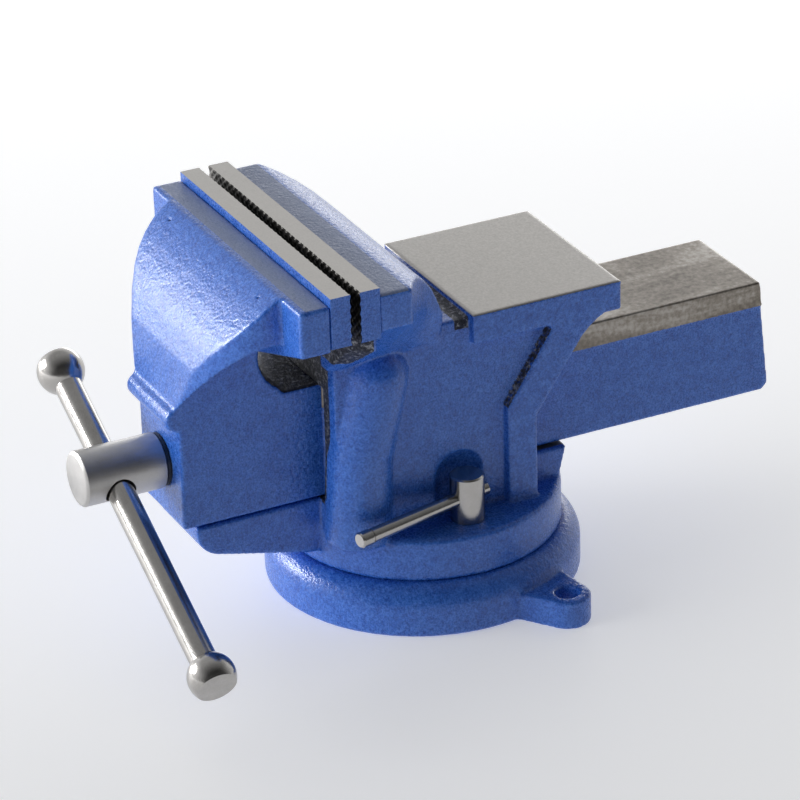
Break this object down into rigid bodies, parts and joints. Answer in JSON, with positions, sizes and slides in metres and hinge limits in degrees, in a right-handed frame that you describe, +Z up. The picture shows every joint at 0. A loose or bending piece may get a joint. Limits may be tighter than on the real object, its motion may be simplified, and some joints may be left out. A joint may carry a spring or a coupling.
{
  "type": "bench vise",
  "caption": "Swivel-base bench vise: hammered blue castings, bare jaw plates and anvil, box slide, lead screw with tommy bar, barrel-headed swivel locks.",
  "frame": {"origin": "on the swivel axis, on the underside of the base, at the centre of the mounting-bolt circle", "axes": "+Z up along the swivel axis; +Y from the handle along the slide towards the anvil; +X across the jaws"},
  "size_m": [0.1952, 0.3227, 0.1762],
  "materials": {
    "blue_paint": "hammered blue enamel on rough castings",
    "ground_steel": "ground bare steel",
    "bright_steel": "turned bright steel",
    "grey_iron": "raw cast iron",
    "dark_steel": "oiled dark steel"
  },
  "bodies": {
    "base": {"swivel_base": "blue_paint"},
    "body": {"vise_body": "blue_paint", "fixed_jaw_plate": "ground_steel", "fixed_plate_screws": "dark_steel", "lead_nut": "grey_iron", "nut_bolt": "dark_steel", "nut_bolt_washer": "dark_steel", "tee_nut_left": "dark_steel", "tee_nut_right": "dark_steel"},
    "jaw": {"moving_jaw": "blue_paint", "moving_jaw_plate": "ground_steel", "moving_plate_screws": "dark_steel"},
    "screw": {"lead_screw": "bright_steel", "thrust_washer": "dark_steel", "retaining_collar": "dark_steel", "collar_pin": "bright_steel"},
    "handle": {"tommy_bar": "bright_steel", "tommy_bar_knob_upper": "bright_steel", "tommy_bar_knob_lower": "bright_steel"},
    "lock_left": {"lock_screw_left": "bright_steel", "lock_rod_left": "bright_steel"},
    "lock_right": {"lock_screw_right": "bright_steel", "lock_rod_right": "bright_steel"}
  },
  "joints": [
    {"name": "swivel", "type": "hinge", "parent": "base", "child": "body", "pos_m": [0, 0, 0.0235], "axis": [0, 0, 1], "continuous": true},
    {"name": "jaw_slide", "type": "slide", "parent": "body", "child": "jaw", "axis": [0, -1, 0], "range_m": [-0.0033, 0.1464]},
    {"name": "screw_turn", "type": "hinge", "parent": "jaw", "child": "screw", "pos_m": [0, -0.13, 0.082], "axis": [0, -1, 0], "range_deg": [-237.6, 10540.8]},
    {"name": "bar_slide", "type": "slide", "parent": "screw", "child": "handle", "axis": [0.891, 0, -0.454], "range_m": [-0.0875, 0.0334]},
    {"name": "lock_turn_left", "type": "hinge", "parent": "body", "child": "lock_left", "pos_m": [-0.0455, 0, 0.05], "axis": [0, 0, 1], "range_deg": [0, 150]},
    {"name": "lock_turn_right", "type": "hinge", "parent": "body", "child": "lock_right", "pos_m": [0.0455, 0, 0.05], "axis": [0, 0, 1], "range_deg": [0, 150]}
  ],
  "couplings": [
    {"joint": "jaw_slide", "follows": "screw_turn", "m_per_rad": 0.00079577}
  ]
}
